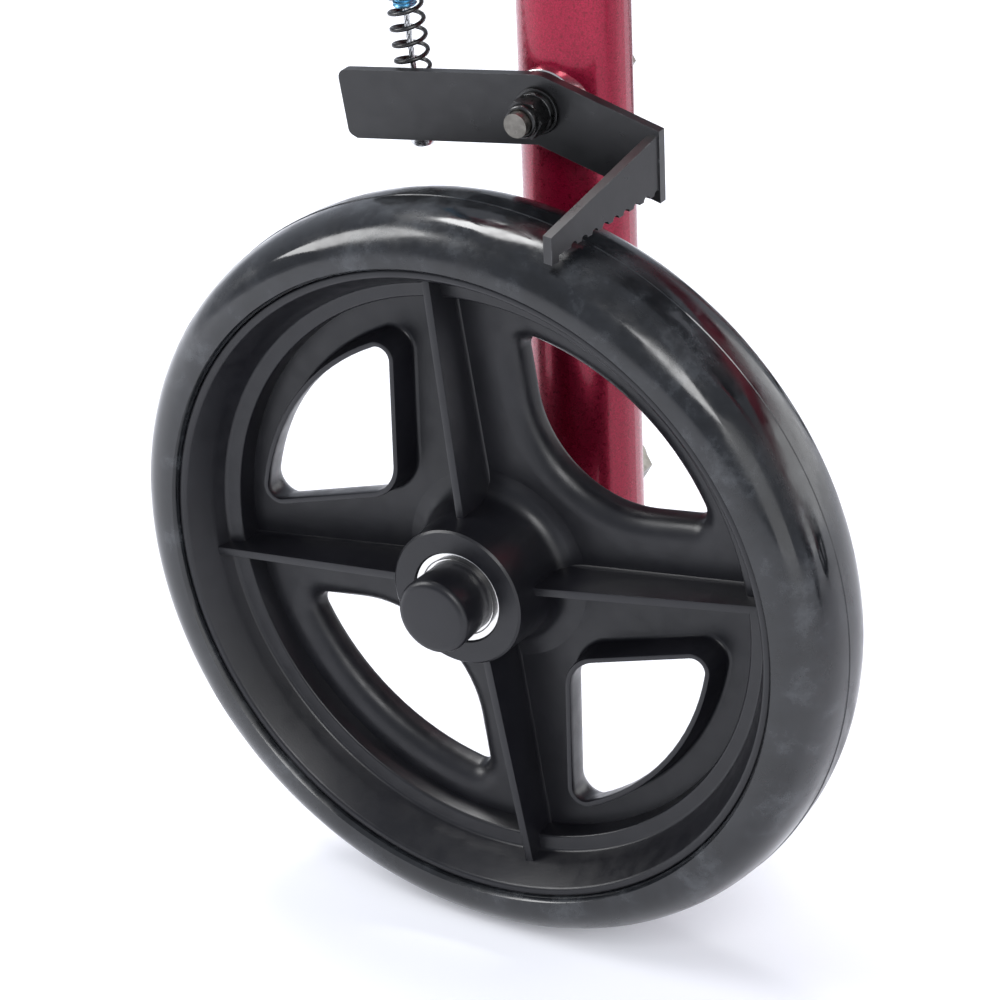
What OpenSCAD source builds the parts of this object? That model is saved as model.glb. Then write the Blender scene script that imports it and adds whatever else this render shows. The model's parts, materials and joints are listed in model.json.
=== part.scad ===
// Four-wheeled knee scooter: folding steering column, height-adjustable handlebar and
// knee pad, rear rim brakes worked by two levers. Millimetres, +X forward, +Y left, +Z up,
// origin on the floor below the middle of the wheelbase.

/* [Wheels] */
// Diameter of each tyre
wheel_d = 190; // [186:1:194]
// Width of each tyre
tyre_w = 32; // [30:1:33]
// Distance between the front and rear axles
wheelbase = 560; // [540:5:600]
// Distance between the centre planes of the rear wheels
rear_track = 480; // [440:5:500]
// Distance between the centre planes of the front wheels
front_track = 240; // [230:5:260]
// Angle of the first spoke rib of each wheel at rest
spoke_turn = 8.3; // [0:0.1:45]

/* [Frame] */
// Outside diameter of the arch tubes
tube_d = 26.9; // [25:0.1:27]
// Wall thickness of the arch tubes
tube_wall = 2; // [1.5:0.1:3]
// Height of the rear crossbar's axis
rear_bar_z = 290; // [280:1:300]
// Height of the front crossbar's axis
front_bar_z = 225; // [220:1:228]
// Height of the main beam's section
beam_h = 50; // [40:1:56]
// Width of the main beam's section
beam_w = 40; // [36:1:44]

/* [Steering column] */
// Height of the fold hinge's pin
fold_z = 540; // [538:1:544]
// Height of the handlebar's axis at its lowest setting
bar_z = 880; // [860:5:900]
// Length of the handlebar
bar_len = 440; // [420:10:480]

/* [Knee pad] */
// Length of the knee pad
pad_len = 330; // [300:5:340]
// Width over both cushions
pad_w = 190; // [170:5:200]
// Height of the cushions' top at the lowest setting
pad_top = 470; // [465:1:475]
// Thickness of each cushion
pad_t = 46; // [40:1:50]

/* [Hidden] */
$fn = 64;

// Wheel sections: radii from the axle, heights from the wheel's centre plane.
axle_z = wheel_d / 2;
rear_x = -wheelbase / 2;
front_x = wheelbase / 2;
rim_r = 81.9;
rim_half = 14.5;
web_mid = -2.75;
web_half = 1.5;
hub_r = 17.4;
hub_half = 18;
bearing_r = 11;
bearing_w = 7;
bearing_in = 16.5;
axle_r = 4;
run_gap = 0.05;
rib_t = 2.4;
window_r = 61.2;
window_side = 15.6;
window_fillet = 28;
collar_t = 1.6;
collar_h = 5.3;

// Legs stand inboard of their wheels.
tube_r = tube_d / 2;
leg_in = 40.5;
leg_lead = 2.2;
leg_bottom = 80;
rear_leg_x = rear_x + leg_lead;
rear_leg_y = rear_track / 2 - leg_in;
front_leg_y = front_track / 2 - leg_in;
rear_bend = 55;
front_bend = 38;

// Beam, head tube and seat tube.
beam_wall = 2.5;
beam_back = rear_leg_x - 28;
head_r = 21;
head_low = 262;
head_high = 366;
seat_x = -60;
seat_r = 16.9;
seat_low = 236;
seat_high = 372;
post_r = 14.3;
post_low = 246;
steerer_r = 14.3;

// Knee pad stack, from the top down.
board_t = 10;
plate_t = 4;
board_z = pad_top - pad_t - board_t;
plate_z = board_z - plate_t;
pad_gap = 8;
pad_bolt_x = 60;
pad_bolt_y = 36;

// Fold hinge and telescoping column.
pin_r = 5;
ear_gap = 17.3;
ear_t = 4;
tang_r = 18;
column_r = 15.9;
column_top = 760;
stem_r = 12.7;
stem_low = 600;
bar_r = 11.1;
grip_r = 16;
grip_len = 118;

// Rear brake, measured from the wheel's centre: x forward, y inboard, z up.
arm_face = 22.5;
arm_t = 2.5;
arm_h = 17.3;
pivot = [2.6, 109.5];
arm_back = 54.9;
arm_back_tilt = 8.9;
arm_front_tilt = -14.6;
fold_x = 34.6;
blade_len = 40;
blade_tilt = 9.8;
bolt_r = 3;
spring_foot = [-34.6, 29.5, 98.2];
spring_lean = -5.5;
spring_len = 59;
spring_r = 3.95;
spring_wire = 0.55;
spring_turns = 13.5;
stop_z = 157.5;

module red() { color([0.62, 0.03, 0.12]) children(); }
module black() { color([0.07, 0.07, 0.08]) children(); }
module steel() { color([0.75, 0.76, 0.78]) children(); }
module zinc() { color([0.35, 0.35, 0.34]) children(); }

// Places a right-hand part, or its mirror image on the left.
module both_sides() {
  children();
  mirror([0, 1, 0]) children();
}

// Wheel frame of the right-hand wheels: local +Z points outwards.
module wheel_at(x, track, side) {
  translate([x, side * track / 2, axle_z])
    rotate([0, 0, side > 0 ? 180 : 0])
      rotate([90, 0, 0]) children();
}

// Brake frame of a rear wheel: x forward, y inboard, z up from the wheel's centre.
module brake_at() {
  translate([rear_x, -rear_track / 2, axle_z]) children();
}

module pipe(r, wall, h) {
  difference() {
    cylinder(r = r, h = h);
    translate([0, 0, -1]) cylinder(r = r - wall, h = h + 2);
  }
}

// A rod along +Y from y0 to y1.
module rod_y(r, y0, y1, sides = 64) {
  translate([0, y0, 0]) rotate([-90, 0, 0]) cylinder(r = r, h = y1 - y0, $fn = sides);
}

// ---- Wheels ----

// Half the tyre's section is a superellipse around the rim seat.
tyre_steps = 18;
function tyre_curve() = [
  for (i = [0 : tyre_steps]) let (a = 90 - 180 * i / tyre_steps)
    [rim_r + 0.6 + (wheel_d / 2 - rim_r - 0.6) * pow(cos(a), 0.8),
     tyre_w / 2 * sign(sin(a)) * pow(abs(sin(a)), 0.8)]
];

module tyre() {
  black() rotate_extrude($fn = 128)
    polygon(concat([[rim_r, rim_half]], tyre_curve(), [[rim_r, -rim_half]]));
}

// One quarter window's outline, grown by d; the hub corner has a large round.
module window_2d(d) {
  s = window_side - d;
  f = window_fillet + d;
  intersection() {
    circle(r = window_r + d, $fn = 128);
    union() {
      translate([s + f, s]) square(80);
      translate([s, s + f]) square(80);
      translate([s + f, s + f]) circle(r = f);
    }
  }
}

// Rim section: seat for the tyre, sloped inner wall, ledge, thin web and hub.
module rim_blank() {
  rotate_extrude($fn = 128) polygon([
    [bearing_r - 2, hub_half], [hub_r, hub_half], [hub_r + 0.6, 4],
    [hub_r + 4, web_mid + web_half], [70.3, web_mid + web_half], [71, 4], [74.8, 4.3],
    [76.5, 8], [80, rim_half], [rim_r, rim_half], [rim_r, -rim_half], [80, -rim_half],
    [76.5, -11], [74.8, -9.8], [71, -9.5], [70.3, web_mid - web_half],
    [hub_r + 4, web_mid - web_half], [hub_r + 0.6, -9], [hub_r, -hub_half],
    [bearing_r - 2, -hub_half]
  ]);
}

module ribs() {
  for (q = [0 : 3]) rotate([0, 0, 90 * q]) rotate([90, 0, 0])
    translate([0, 0, -rib_t / 2]) linear_extrude(rib_t)
      polygon([[hub_r - 1, 11], [77, 8], [77, -11], [hub_r - 1, -14]]);
}

// Collars stand out of the web, to the outside on two windows and inside on two.
module collars() {
  for (q = [0 : 3]) rotate([0, 0, 90 * q])
    translate([0, 0, q % 2 == 0 ? web_mid - collar_h : web_mid])
      linear_extrude(collar_h) window_2d(collar_t);
}

module rim() {
  black() rotate([0, 0, spoke_turn]) difference() {
    union() {
      rim_blank();
      ribs();
      collars();
    }
    for (q = [0 : 3]) rotate([0, 0, 90 * q])
      translate([0, 0, -30]) linear_extrude(60) window_2d(0);
    for (m = [0, 1]) mirror([0, 0, m])
      translate([0, 0, bearing_in - bearing_w]) cylinder(r = bearing_r, h = 20);
  }
}

// Two sealed bearings and the bush that keeps them apart.
module bearings() {
  steel() for (m = [0, 1]) mirror([0, 0, m]) translate([0, 0, bearing_in - bearing_w])
    difference() {
      cylinder(r = bearing_r, h = bearing_w);
      translate([0, 0, -1]) cylinder(r = axle_r + run_gap, h = bearing_w + 2);
      translate([0, 0, bearing_w - 0.4]) difference() {
        cylinder(r = 10, h = 1);
        translate([0, 0, -1]) cylinder(r = 6.2, h = 3);
      }
    }
  zinc() translate([0, 0, bearing_w - bearing_in])
    pipe(axle_r + 2, 2 - run_gap, 2 * (bearing_in - bearing_w));
}

// Axle bolt: hex head under the cap, shank through the hub and the leg.
module axle_bolt() {
  zinc() translate([0, 0, 19]) cylinder(r = 7.5, h = 5.3, $fn = 6);
  zinc() translate([0, 0, -66]) cylinder(r = axle_r, h = 85.5);
}

module axle_nut() {
  zinc() translate([0, 0, -62.5]) difference() {
    union() {
      cylinder(r = 7.5, h = 8, $fn = 6);
      translate([0, 0, 7]) cylinder(r = 9, h = 1.3);
    }
    translate([0, 0, -1]) cylinder(r = axle_r, h = 12);
  }
}

// Bush between the inner bearing and the leg, hollowed to sit on the round tube.
module axle_spacers(x, track, lead) {
  zinc() both_sides() translate([x, -track / 2, axle_z]) difference() {
    rod_y(8, bearing_in + 0.3, leg_in - 6);
    rod_y(axle_r, 0, 60);
    translate([lead, leg_in, -20]) cylinder(r = tube_r, h = 40);
  }
}

// Rounded black cap over the bolt head.
cap_r = 9.5;
cap_low = 17;
cap_high = 29.5;
cap_round = 1.8;
module axle_cap() {
  black() difference() {
    rotate_extrude() union() {
      translate([0, cap_low]) square([cap_r, cap_high - cap_round - cap_low]);
      translate([0, cap_low]) square([cap_r - cap_round, cap_high - cap_low]);
      translate([cap_r - cap_round, cap_high - cap_round]) circle(r = cap_round);
    }
    translate([0, 0, cap_low - 1]) cylinder(r = axle_r, h = 4);
    translate([0, 0, 19]) cylinder(r = 7.5, h = 5.3, $fn = 6);
  }
}

module rear_wheels_do() {
  for (s = [-1, 1]) wheel_at(rear_x, rear_track, s) children();
}
module front_wheels_do() {
  for (s = [-1, 1]) wheel_at(front_x, front_track, s) children();
}

// ---- Frame ----

// Inverted-U rod: legs, two bends and a crossbar.
module arch_solid(x, leg_y, bar_z0, bend, r, low) {
  translate([x, 0, 0]) {
    for (m = [0, 1]) mirror([0, m, 0]) {
      translate([0, -leg_y, low]) cylinder(r = r, h = bar_z0 - bend - low);
      translate([0, bend - leg_y, bar_z0 - bend]) rotate([90, 0, -90])
        rotate_extrude(angle = 90) translate([bend, 0]) circle(r = r);
    }
    translate([0, 0, bar_z0]) rod_y(r, bend - leg_y, leg_y - bend);
  }
}

module arch(x, leg_y, bar_z0, bend) {
  difference() {
    arch_solid(x, leg_y, bar_z0, bend, tube_r, leg_bottom);
    arch_solid(x, leg_y, bar_z0, bend, tube_r - tube_wall, leg_bottom - 1);
  }
}

module rear_arch() {
  red() difference() {
    arch(rear_leg_x, rear_leg_y, rear_bar_z, rear_bend);
    translate([rear_x, 0, axle_z]) rod_y(axle_r + 0.1, -300, 300);
    translate([rear_x + pivot[0], 0, axle_z + pivot[1]]) rod_y(bolt_r + 0.1, -300, 300);
  }
}

// Box along the beam from x0 to x1, with its faces set in by wall.
module beam_box(x0, x1, wall) {
  translate([x0, wall - beam_w / 2, rear_bar_z + wall - beam_h / 2])
    cube([x1 - x0, beam_w - 2 * wall, beam_h - 2 * wall]);
}

// Hollow beam, cut to take the head tube, the seat tube and the rear crossbar.
module main_beam() {
  red() difference() {
    beam_box(beam_back, front_x, 0);
    beam_box(beam_back - 1, front_x - head_r - 3, beam_wall);
    translate([front_x, 0, head_low]) cylinder(r = head_r, h = head_high - head_low);
    translate([seat_x, 0, seat_low]) cylinder(r = seat_r, h = seat_high - seat_low);
    translate([rear_leg_x, 0, rear_bar_z]) rod_y(tube_r, -40, 40);
    translate([beam_entry[0], 0, beam_entry[2]]) rod_y(housing_r + 0.2, -40, 40);
  }
}
module head_tube() {
  red() translate([front_x, 0, head_low]) pipe(head_r, 3, head_high - head_low);
}
module seat_tube() {
  red() translate([seat_x, 0, seat_low])
    pipe(seat_r, seat_r - post_r - run_gap, seat_high - seat_low);
}

module beam_end_cap() {
  black() {
    beam_box(beam_back - 4, beam_back, 0);
    beam_box(beam_back, beam_back + 10, beam_wall);
  }
}

module leg_plug(x, y) {
  translate([x, -y, leg_bottom - 4]) cylinder(r = tube_r, h = 4);
  translate([x, -y, leg_bottom]) cylinder(r = tube_r - tube_wall, h = 9);
}
module rear_leg_plugs() { black() both_sides() leg_plug(rear_leg_x, rear_leg_y); }
module front_leg_plugs() { black() both_sides() leg_plug(front_x, front_leg_y); }

// Flanged bearing cups closing both ends of the head tube.
cup_h = 7;
module headset_cups() {
  black() translate([front_x, 0, 0]) difference() {
    union() {
      translate([0, 0, head_low - cup_h]) cylinder(r = head_r + 2, h = cup_h);
      translate([0, 0, head_low]) cylinder(r = head_r - 3, h = 12);
      translate([0, 0, head_high]) cylinder(r = head_r + 2, h = cup_h);
      translate([0, 0, head_high - 12]) cylinder(r = head_r - 3, h = 12);
    }
    cylinder(r = steerer_r + run_gap, h = 500);
  }
}

// Split collar with two ears on its rear side; the clamp bolt runs along Y.
ear_x = 9;
clamp_pivot_y = 27;
module clamp_collar(r_in, r_out, h) {
  difference() {
    union() {
      cylinder(r = r_out, h = h);
      translate([-r_out - ear_x, -7.5, 0]) cube([r_out + ear_x, 15, h]);
    }
    translate([0, 0, -1]) cylinder(r = r_in, h = h + 2);
    translate([-r_out - ear_x - 1, -1.5, -1]) cube([r_out + ear_x, 3, h + 2]);
    translate([-r_out - ear_x / 2, 0, h / 2]) rod_y(2.6, -20, 20);
  }
  translate([-r_out - ear_x / 2, 0, h / 2]) {
    rod_y(2.5, -10, clamp_pivot_y - 6);
    rod_y(4.8, -11.5, -7.5);
    rod_y(4.2, 7.5, clamp_pivot_y - 6.5);
  }
}

// Quick-release lever: a cam at the bolt's end and a flat handle beside the collar.
module clamp_lever(r_out, h) {
  translate([-r_out - ear_x / 2, clamp_pivot_y, h / 2]) {
    translate([0, 0, -6]) cylinder(r = 5.6, h = 12);
    translate([0, -2.2, -4.5]) cube([46, 4.4, 9]);
    translate([46, 0, -4.5]) cylinder(r = 4.5, h = 9);
  }
}
seat_clamp_r = 23.5;
seat_clamp_h = 22;
seat_clamp_z = seat_high - seat_clamp_h;
module seat_clamp_collar() {
  black() translate([seat_x, 0, seat_clamp_z]) clamp_collar(seat_r, seat_clamp_r, seat_clamp_h);
}
module seat_clamp_lever() {
  steel() translate([seat_x, 0, seat_clamp_z]) clamp_lever(seat_clamp_r, seat_clamp_h);
}

// ---- Rear brakes ----

// Plate on the leg that holds the cable adjuster above the spring.
module cable_stop() {
  translate([0, 0, stop_z]) difference() {
    translate([spring_top()[0] - 9, spring_foot[1] - 8, 0])
      cube([leg_lead - spring_top()[0] + 9, 16, 3]);
    translate([leg_lead, leg_in, -1]) cylinder(r = tube_r, h = 5);
    translate([spring_top()[0], spring_foot[1], -1]) cylinder(r = 3.6, h = 5);
  }
}
function spring_top() = [
  spring_foot[0] + (stop_z - spring_foot[2]) * tan(spring_lean), 0
];
module cable_stops() { red() both_sides() brake_at() cable_stop(); }

// Everything along the leaning cable line above the arm's flange.
module cable_line() {
  translate(spring_foot) rotate([0, spring_lean, 0]) children();
}

module cable_adjusters() {
  color([0.45, 0.72, 0.88]) both_sides() brake_at() cable_line() difference() {
    union() {
      translate([0, 0, 30]) cylinder(r = 2.9, h = 44);
      translate([0, 0, spring_len + 4]) cylinder(r = 5, h = 7, $fn = 6);
    }
    translate([0, 0, 20]) cylinder(r = 1.6, h = 60);
  }
}

module inner_cable() {
  cable_line() {
    translate([0, 0, -8]) cylinder(r = 0.75, h = 62, $fn = 16);
    translate([0, 0, -8.6]) cylinder(r = 3, h = 5, $fn = 24);
  }
}
module inner_cable_right() { steel() brake_at() inner_cable(); }
module inner_cable_left() { steel() mirror([0, 1, 0]) brake_at() inner_cable(); }

// Compression spring swept as one eight-sided coil.
coil_steps = 12;
coil_sides = 6;
function coil_ring(i) = let (a = 360 * i / coil_steps, n = spring_turns * coil_steps) [
  for (k = [0 : coil_sides - 1]) let (b = 360 * k / coil_sides)
    [(spring_r + spring_wire * cos(b)) * cos(a), (spring_r + spring_wire * cos(b)) * sin(a),
     spring_wire + (spring_len - 2 * spring_wire) * i / n + spring_wire * sin(b)]
];
module sweep(rings) {
  n = len(rings);
  s = len(rings[0]);
  polyhedron(
    points = [for (r = rings) each r],
    faces = concat(
      [[for (k = [0 : s - 1]) k]],
      [for (i = [0 : n - 2], k = [0 : s - 1], half = [0, 1]) let (a = i * s, b = a + s, m = (k + 1) % s)
        half == 0 ? [a + k, b + k, b + m] : [a + k, b + m, a + m]],
      [[for (k = [s - 1 : -1 : 0]) (n - 1) * s + k]]
    )
  );
}
module brake_spring() {
  cable_line() sweep([for (i = [0 : spring_turns * coil_steps]) coil_ring(i)]);
}
module brake_spring_right() { zinc() brake_at() brake_spring(); }
module brake_spring_left() { zinc() mirror([0, 1, 0]) brake_at() brake_spring(); }

// Cranked arm seen from the side: two strips meeting in a round at the pivot.
module arm_outline() {
  translate(pivot) {
    circle(r = arm_h / 2);
    rotate(arm_back_tilt) translate([-arm_back, -arm_h / 2]) square([arm_back, arm_h]);
    intersection() {
      rotate(arm_front_tilt) translate([0, -arm_h / 2]) square([60, arm_h]);
      translate([0, -60]) square([fold_x - pivot[0], 120]);
    }
  }
}

// Blade across the tyre, cut from the fold line outwards; teeth along its lower edge.
blade_low = [94.8, 92.2];
blade_high = [109.7, 97.4];
blade_tab = [37.5, 90.6];
teeth = 9;
module blade_outline() {
  difference() {
    union() {
      polygon([[0, blade_low[0]], [0, blade_high[0]], [blade_len, blade_high[1]],
               [blade_len, blade_low[1]]]);
      translate(blade_tab) square([blade_len - blade_tab[0], 4]);
    }
    for (i = [0 : teeth - 1]) let (s = 2.6 + i * 3.7)
      translate([s, blade_low[0] + (blade_low[1] - blade_low[0]) * s / blade_len])
        circle(r = 1.05, $fn = 24);
  }
}

// Flange under the arm's rear end, the seat of the spring.
flange_from = 54.9;
flange_len = 30;
flange_w = 13.5;
module arm_flange() {
  translate([pivot[0], 0, pivot[1]]) rotate([0, -arm_back_tilt, 0]) difference() {
    translate([-flange_from, arm_face, -arm_h / 2]) cube([flange_len, flange_w, arm_t]);
    translate([-38.1, spring_foot[1], -arm_h / 2 - 1]) cylinder(r = 1.8, h = 5);
  }
}

module brake_arm() {
  difference() {
    union() {
      translate([0, arm_face + arm_t, 0]) rotate([90, 0, 0]) linear_extrude(arm_t)
        arm_outline();
      arm_flange();
    }
    translate([pivot[0], 0, pivot[1]]) rod_y(bolt_r + run_gap, 0, 60);
  }
  translate([fold_x - arm_t, arm_face + arm_t, 0]) rotate([0, 0, -90 - blade_tilt])
    rotate([90, 0, 0]) translate([0, 0, -arm_t]) linear_extrude(arm_t) blade_outline();
}
module brake_arm_right() { black() brake_at() brake_arm(); }
module brake_arm_left() { black() mirror([0, 1, 0]) brake_at() brake_arm(); }

module at_pivot() {
  both_sides() brake_at() translate([pivot[0], 0, pivot[1]]) children();
}
leg_inner = leg_in + tube_r;
module pivot_bolts() {
  zinc() at_pivot() {
    rod_y(bolt_r, 12, leg_inner + 1);
    rod_y(5.5, leg_inner + 0.1, leg_inner + 4.5, 6);
  }
}
module pivot_nuts() {
  zinc() at_pivot() difference() {
    union() {
      rod_y(5.77, 15.6, 20.2, 6);
      rod_y(4.4, 14.2, 15.8);
      rod_y(6.2, 20.2, arm_face - 0.1);
    }
    rod_y(bolt_r, 10, 30);
  }
}
module pivot_saddles() {
  steel() at_pivot() difference() {
    rod_y(11.5, arm_face + arm_t + 0.1, leg_in - 9);
    rod_y(bolt_r, 10, 60);
    translate([leg_lead - pivot[0], leg_in, -30]) cylinder(r = tube_r, h = 60);
  }
}

// Cable housing: rings of a tube swept along hand-placed points with smooth tangents.
housing_r = 2.4;
housing_sides = 8;
function tangent(p, i) = let (n = len(p)) (p[min(i + 1, n - 1)] - p[max(i - 1, 0)]);
function unit(v) = v / norm(v);
function bezier(a, b, c, d, t) =
  a * pow(1 - t, 3) + 3 * b * t * pow(1 - t, 2) + 3 * c * t * t * (1 - t) + d * pow(t, 3);
function route(p, per) = [
  for (i = [0 : len(p) - 2], k = [0 : per - 1]) let (a = p[i], b = p[i + 1], h = norm(b - a) / 3)
    bezier(a, a + unit(tangent(p, i)) * h, b - unit(tangent(p, i + 1)) * h, b, k / per),
  p[len(p) - 1]
];
function ring_at(p, i, r, across) = let (
  t = unit(tangent(p, i)), u = unit(cross(t, across)), v = cross(t, u))
  [for (k = [0 : housing_sides - 1]) let (a = 360 * k / housing_sides)
    p[i] + r * (cos(a) * v + sin(a) * u)];
module housing(points, across) {
  p = route(points, 4);
  sweep([for (i = [0 : len(p) - 1]) ring_at(p, i, housing_r, across)]);
}
line_dir = [sin(spring_lean), 0, cos(spring_lean)];
beam_entry = [-300, 1 - beam_w / 2, rear_bar_z + 12];
adjuster_end = [rear_x, -rear_track / 2, axle_z] + spring_foot + 74.2 * line_dir;
module rear_cable() {
  housing([
    adjuster_end, adjuster_end + 20 * line_dir, [-330, -196, 310], [-328, -150, 318],
    [-318, -100, 312], [-306, -60, 305], beam_entry - [0, 20, 0], beam_entry
  ], [1, 0, 0]);
}
module rear_cables() { black() both_sides() rear_cable(); }

// ---- Knee pad ----

module knee_post() {
  steel() {
    translate([seat_x, 0, post_low]) pipe(post_r, 2, plate_z - post_low);
    difference() {
      translate([seat_x - 75, -48, plate_z]) cube([150, 96, plate_t]);
      pad_bolt_places() cylinder(r = 3.2, h = 600);
    }
  }
}
module pad_bolt_places() {
  for (i = [-1, 1], j = [-1, 1]) translate([seat_x + i * pad_bolt_x, j * pad_bolt_y, 0]) children();
}
module slab_2d(l, w, r) {
  translate([r - l / 2, -w / 2]) square([l - 2 * r, w]);
  translate([-l / 2, r - w / 2]) square([l, w - 2 * r]);
  for (i = [-1, 1], j = [-1, 1]) translate([i * (l / 2 - r), j * (w / 2 - r)]) circle(r = r);
}
module pad_board() {
  black() difference() {
    translate([seat_x, 0, board_z]) linear_extrude(board_t) slab_2d(pad_len - 10, pad_w - 10, 24);
    pad_bolt_places() cylinder(r = 3.2, h = 600);
  }
}
module pad_bolts() {
  zinc() pad_bolt_places() {
    translate([0, 0, plate_z - 4.2]) cylinder(r = 5.2, h = 4);
    translate([0, 0, plate_z - 1]) cylinder(r = 3, h = plate_t + board_t - 1);
  }
}
module cushion() {
  cushion_w = (pad_w - pad_gap) / 2;
  translate([seat_x, -pad_gap / 2 - cushion_w / 2, pad_top - pad_t])
    linear_extrude(pad_t) slab_2d(pad_len, cushion_w, 22);
}
module cushion_right() { black() cushion(); }
module cushion_left() { black() mirror([0, 1, 0]) cushion(); }

// ---- Front end ----

module front_arch() {
  red() difference() {
    arch(front_x, front_leg_y, front_bar_z, front_bend);
    translate([front_x, 0, axle_z]) rod_y(axle_r + 0.1, -300, 300);
  }
}

base_z = fold_z - tang_r - 12;
module steerer() {
  red() difference() {
    union() {
      translate([front_x, 0, front_bar_z]) cylinder(r = steerer_r, h = base_z - front_bar_z);
      translate([front_x, 0, base_z]) cylinder(r = 22, h = 8);
      for (s = [-1, 1]) translate([front_x, 0, 0]) {
        translate([-20, s > 0 ? ear_gap : -ear_gap - ear_t, base_z]) cube([40, ear_t, fold_z - base_z]);
        translate([0, 0, fold_z]) rod_y(20, s > 0 ? ear_gap : -ear_gap - ear_t,
                                        s > 0 ? ear_gap + ear_t : -ear_gap);
      }
      translate([front_x, 0, head_low - cup_h - 7.3]) cylinder(r = 20, h = 7);
      translate([front_x, 0, head_high + cup_h + 0.3]) cylinder(r = 20, h = 8);
    }
    translate([front_x, 0, front_bar_z]) rod_y(tube_r, -60, 60);
    translate([front_x, 0, front_bar_z + 20]) cylinder(r = steerer_r - 2.3, h = base_z - front_bar_z - 24);
    translate([front_x, 0, fold_z]) rod_y(pin_r, -60, 60);
  }
}

module fold_pin() {
  steel() translate([front_x, 0, fold_z]) {
    rod_y(pin_r, -ear_gap - ear_t - 4, ear_gap + ear_t + 5.5);
    rod_y(8.5, -ear_gap - ear_t - 5, -ear_gap - ear_t - 0.05, 6);
  }
}
// Cam lever on the left end of the fold pin, lying down along the steerer.
module fold_lever() {
  black() translate([front_x, ear_gap + ear_t + 14, fold_z]) {
    translate([-7, 0, 0]) rotate([0, 90, 0]) cylinder(r = 8, h = 14);
    translate([-6, 0.5, -62]) cube([12, 5, 62]);
    translate([-6, 3, -62]) rotate([0, 90, 0]) cylinder(r = 4.5, h = 12);
  }
}

// Upper column with the tang that turns between the ears.
module column() {
  red() difference() {
    union() {
      translate([front_x, 0, fold_z]) rod_y(tang_r, -ear_gap + 0.3, ear_gap - 0.3);
      translate([front_x, 0, fold_z]) cylinder(r = column_r, h = column_top - fold_z);
    }
    translate([front_x, 0, fold_z]) rod_y(pin_r + run_gap, -60, 60);
    translate([front_x, 0, fold_z + tang_r + 8]) cylinder(r = stem_r + run_gap, h = 400);
  }
}
bar_clamp_r = 22;
bar_clamp_h = 24;
bar_clamp_z = column_top - bar_clamp_h;
module bar_clamp_collar() {
  black() translate([front_x, 0, bar_clamp_z]) clamp_collar(column_r, bar_clamp_r, bar_clamp_h);
}
module bar_clamp_lever() {
  steel() translate([front_x, 0, bar_clamp_z]) clamp_lever(bar_clamp_r, bar_clamp_h);
}

// Sliding stem with the handlebar welded across its top.
bar_wall = 2;
module handlebar() {
  steel() translate([front_x, 0, 0]) difference() {
    union() {
      translate([0, 0, stem_low]) cylinder(r = stem_r, h = bar_z - stem_low);
      translate([0, 0, bar_z]) rod_y(bar_r, -bar_len / 2, bar_len / 2);
      translate([0, 0, bar_z]) rod_y(bar_r + 3, -22, 22);
      translate([0, 0, bar_z]) sphere(r = bar_r + 4);
    }
    translate([0, 0, stem_low - 1]) cylinder(r = stem_r - bar_wall, h = bar_z - stem_low - 10);
    for (s = [-1, 1]) translate([0, 0, bar_z])
      rod_y(bar_r - bar_wall, s > 0 ? 30 : -bar_len, s > 0 ? bar_len : -30);
    for (s = [-1, 1]) translate([0, s * stem_entry[1], stem_entry[2]]) rotate([0, 90, 0])
      cylinder(r = housing_r + 0.2, h = 40);
  }
}

grip_in = bar_len / 2 + 4 - grip_len;
module grip() {
  translate([front_x, 0, bar_z]) difference() {
    union() {
      rod_y(grip_r, -grip_in - grip_len, -grip_in);
      rod_y(grip_r + 4, -grip_in - 5, -grip_in);
      rod_y(grip_r + 2, -grip_in - grip_len, 6 - grip_in - grip_len);
    }
    rod_y(bar_r, -bar_len / 2, -grip_in + 1);
  }
}
module grips() { black() both_sides() grip(); }

// Brake lever bracket clamped to the bar, with a clevis in front for the lever.
lever_x = 38;
lever_y = 84;
lever_t = 8;
module lever_bracket() {
  translate([front_x, 0, bar_z]) difference() {
    union() {
      rod_y(bar_r + 4, -lever_y - 6, -lever_y + 14);
      translate([6, -lever_y - 8, -10]) cube([lever_x + 2, 24, 20]);
    }
    rod_y(bar_r, -200, 0);
    translate([lever_x - 16, -lever_y - 30, -lever_t / 2 - 0.3]) cube([60, 39.5, lever_t + 0.6]);
  }
  translate([front_x + lever_x, -lever_y, bar_z - 10]) cylinder(r = 2.5, h = 20);
}
module lever_brackets() { black() both_sides() lever_bracket(); }

// Lever blade: a boss at the pivot and a tapering finger in front of the grip.
lever_len = 118;
module lever_outline() {
  circle(r = 8);
  hull() {
    translate([2, -4]) circle(r = 6);
    translate([12, -34]) circle(r = 5);
  }
  hull() {
    translate([12, -34]) circle(r = 5);
    translate([14, -lever_len]) circle(r = 4);
  }
  translate([14, -lever_len]) circle(r = 6.5);
}
module brake_lever() {
  translate([front_x + lever_x, -lever_y, bar_z - lever_t / 2]) difference() {
    linear_extrude(lever_t) lever_outline();
    translate([0, 0, -1]) cylinder(r = 2.5 + run_gap, h = lever_t + 2);
  }
}
module brake_lever_right() { black() brake_lever(); }
module brake_lever_left() { black() mirror([0, 1, 0]) brake_lever(); }

// Cable from each bracket, in a low arc, into the handlebar stem.
stem_entry = [front_x + 9, -5, bar_z - 46];
module lever_cable() {
  housing([
    [front_x + 26, -67.9, bar_z], [front_x + 28, -56, bar_z - 2], [front_x + 38, -34, bar_z - 16],
    [front_x + 36, -14, bar_z - 36], stem_entry + [13, 0, 0], stem_entry
  ], [0, 0, 1]);
}
module lever_cables() { black() both_sides() lever_cable(); }

// ---- Wheels and axles, one node for each sub-part ----

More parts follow.
